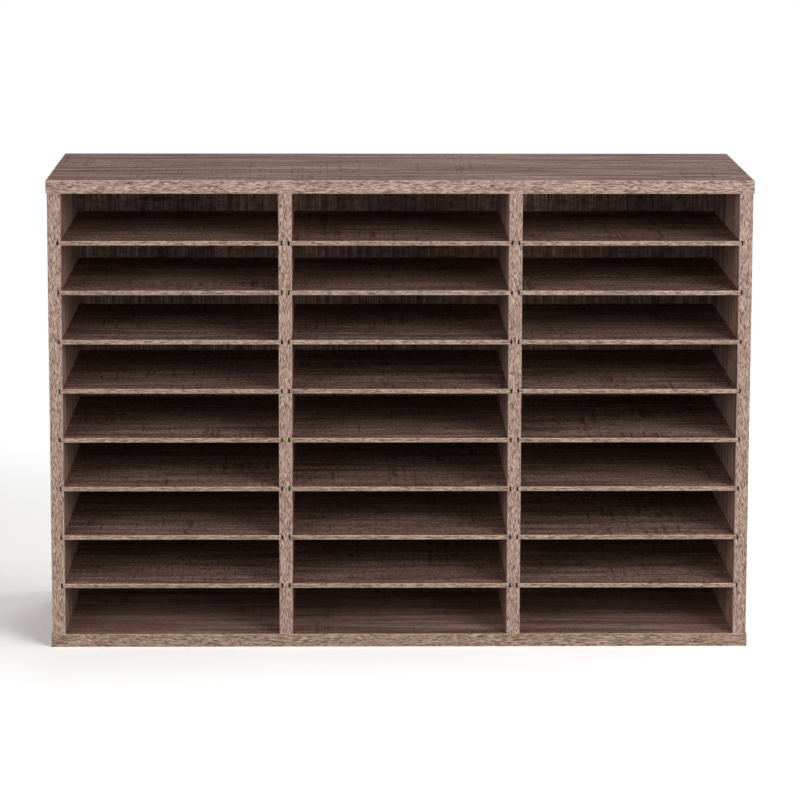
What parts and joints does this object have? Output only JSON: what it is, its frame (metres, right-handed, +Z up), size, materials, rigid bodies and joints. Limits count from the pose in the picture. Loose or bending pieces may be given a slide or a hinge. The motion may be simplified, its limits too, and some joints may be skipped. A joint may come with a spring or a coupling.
{
  "type": "literature organizer",
  "caption": "Free-standing desk-top literature organizer: a laminated case with columns of open compartments and thin shelves that slide out of grooves at the front.",
  "frame": {"origin": "middle of the underside, on the surface that the organizer stands on", "axes": "+X to the right along the width, +Y from the open front to the back, +Z up"},
  "size_m": [0.8, 0.305, 0.5385],
  "materials": {
    "board_laminate": "matte printed oak",
    "shelf_laminate": "matte printed oak",
    "edge_band": "matte printed oak",
    "back_hardboard": "matte printed oak",
    "cam_zinc": "as die cast",
    "bolt_steel": "zinc plated",
    "dowel_beech": "raw"
  },
  "bodies": {
    "case": {"top_panel": "board_laminate", "top_front_edge_band": "edge_band", "top_left_end_band": "edge_band", "top_right_end_band": "edge_band", "bottom_panel": "board_laminate", "bottom_front_edge_band": "edge_band", "bottom_left_end_band": "edge_band", "bottom_right_end_band": "edge_band", "left_side": "board_laminate", "left_side_edge_band": "edge_band", "left_side_cam_locks": "cam_zinc", "left_side_cam_bolts": "bolt_steel", "left_side_dowels": "dowel_beech", "left_divider": "board_laminate", "left_divider_edge_band": "edge_band", "left_divider_cam_locks": "cam_zinc", "left_divider_cam_bolts": "bolt_steel", "left_divider_dowels": "dowel_beech", "right_divider": "board_laminate", "right_divider_edge_band": "edge_band", "right_divider_cam_locks": "cam_zinc", "right_divider_cam_bolts": "bolt_steel", "right_divider_dowels": "dowel_beech", "right_side": "board_laminate", "right_side_edge_band": "edge_band", "right_side_cam_locks": "cam_zinc", "right_side_cam_bolts": "bolt_steel", "right_side_dowels": "dowel_beech", "left_back_panel": "back_hardboard", "center_back_panel": "back_hardboard", "right_back_panel": "back_hardboard"},
    "shelf_left_1": {"shelf_left_1": "shelf_laminate"},
    "shelf_left_2": {"shelf_left_2": "shelf_laminate"},
    "shelf_left_3": {"shelf_left_3": "shelf_laminate"},
    "shelf_left_4": {"shelf_left_4": "shelf_laminate"},
    "shelf_left_5": {"shelf_left_5": "shelf_laminate"},
    "shelf_left_6": {"shelf_left_6": "shelf_laminate"},
    "shelf_left_7": {"shelf_left_7": "shelf_laminate"},
    "shelf_left_8": {"shelf_left_8": "shelf_laminate"},
    "shelf_center_1": {"shelf_center_1": "shelf_laminate"},
    "shelf_center_2": {"shelf_center_2": "shelf_laminate"},
    "shelf_center_3": {"shelf_center_3": "shelf_laminate"},
    "shelf_center_4": {"shelf_center_4": "shelf_laminate"},
    "shelf_center_5": {"shelf_center_5": "shelf_laminate"},
    "shelf_center_6": {"shelf_center_6": "shelf_laminate"},
    "shelf_center_7": {"shelf_center_7": "shelf_laminate"},
    "shelf_center_8": {"shelf_center_8": "shelf_laminate"},
    "shelf_right_1": {"shelf_right_1": "shelf_laminate"},
    "shelf_right_2": {"shelf_right_2": "shelf_laminate"},
    "shelf_right_3": {"shelf_right_3": "shelf_laminate"},
    "shelf_right_4": {"shelf_right_4": "shelf_laminate"},
    "shelf_right_5": {"shelf_right_5": "shelf_laminate"},
    "shelf_right_6": {"shelf_right_6": "shelf_laminate"},
    "shelf_right_7": {"shelf_right_7": "shelf_laminate"},
    "shelf_right_8": {"shelf_right_8": "shelf_laminate"}
  },
  "joints": [
    {"name": "shelf_left_1_slide", "type": "slide", "parent": "case", "child": "shelf_left_1", "axis": [0, -1, 0], "range_m": [0, 0.235]},
    {"name": "shelf_left_2_slide", "type": "slide", "parent": "case", "child": "shelf_left_2", "axis": [0, -1, 0], "range_m": [0, 0.235]},
    {"name": "shelf_left_3_slide", "type": "slide", "parent": "case", "child": "shelf_left_3", "axis": [0, -1, 0], "range_m": [0, 0.235]},
    {"name": "shelf_left_4_slide", "type": "slide", "parent": "case", "child": "shelf_left_4", "axis": [0, -1, 0], "range_m": [0, 0.235]},
    {"name": "shelf_left_5_slide", "type": "slide", "parent": "case", "child": "shelf_left_5", "axis": [0, -1, 0], "range_m": [0, 0.235]},
    {"name": "shelf_left_6_slide", "type": "slide", "parent": "case", "child": "shelf_left_6", "axis": [0, -1, 0], "range_m": [0, 0.235]},
    {"name": "shelf_left_7_slide", "type": "slide", "parent": "case", "child": "shelf_left_7", "axis": [0, -1, 0], "range_m": [0, 0.235]},
    {"name": "shelf_left_8_slide", "type": "slide", "parent": "case", "child": "shelf_left_8", "axis": [0, -1, 0], "range_m": [0, 0.235]},
    {"name": "shelf_center_1_slide", "type": "slide", "parent": "case", "child": "shelf_center_1", "axis": [0, -1, 0], "range_m": [0, 0.235]},
    {"name": "shelf_center_2_slide", "type": "slide", "parent": "case", "child": "shelf_center_2", "axis": [0, -1, 0], "range_m": [0, 0.235]},
    {"name": "shelf_center_3_slide", "type": "slide", "parent": "case", "child": "shelf_center_3", "axis": [0, -1, 0], "range_m": [0, 0.235]},
    {"name": "shelf_center_4_slide", "type": "slide", "parent": "case", "child": "shelf_center_4", "axis": [0, -1, 0], "range_m": [0, 0.235]},
    {"name": "shelf_center_5_slide", "type": "slide", "parent": "case", "child": "shelf_center_5", "axis": [0, -1, 0], "range_m": [0, 0.235]},
    {"name": "shelf_center_6_slide", "type": "slide", "parent": "case", "child": "shelf_center_6", "axis": [0, -1, 0], "range_m": [0, 0.235]},
    {"name": "shelf_center_7_slide", "type": "slide", "parent": "case", "child": "shelf_center_7", "axis": [0, -1, 0], "range_m": [0, 0.235]},
    {"name": "shelf_center_8_slide", "type": "slide", "parent": "case", "child": "shelf_center_8", "axis": [0, -1, 0], "range_m": [0, 0.235]},
    {"name": "shelf_right_1_slide", "type": "slide", "parent": "case", "child": "shelf_right_1", "axis": [0, -1, 0], "range_m": [0, 0.235]},
    {"name": "shelf_right_2_slide", "type": "slide", "parent": "case", "child": "shelf_right_2", "axis": [0, -1, 0], "range_m": [0, 0.235]},
    {"name": "shelf_right_3_slide", "type": "slide", "parent": "case", "child": "shelf_right_3", "axis": [0, -1, 0], "range_m": [0, 0.235]},
    {"name": "shelf_right_4_slide", "type": "slide", "parent": "case", "child": "shelf_right_4", "axis": [0, -1, 0], "range_m": [0, 0.235]},
    {"name": "shelf_right_5_slide", "type": "slide", "parent": "case", "child": "shelf_right_5", "axis": [0, -1, 0], "range_m": [0, 0.235]},
    {"name": "shelf_right_6_slide", "type": "slide", "parent": "case", "child": "shelf_right_6", "axis": [0, -1, 0], "range_m": [0, 0.235]},
    {"name": "shelf_right_7_slide", "type": "slide", "parent": "case", "child": "shelf_right_7", "axis": [0, -1, 0], "range_m": [0, 0.235]},
    {"name": "shelf_right_8_slide", "type": "slide", "parent": "case", "child": "shelf_right_8", "axis": [0, -1, 0], "range_m": [0, 0.235]}
  ]
}
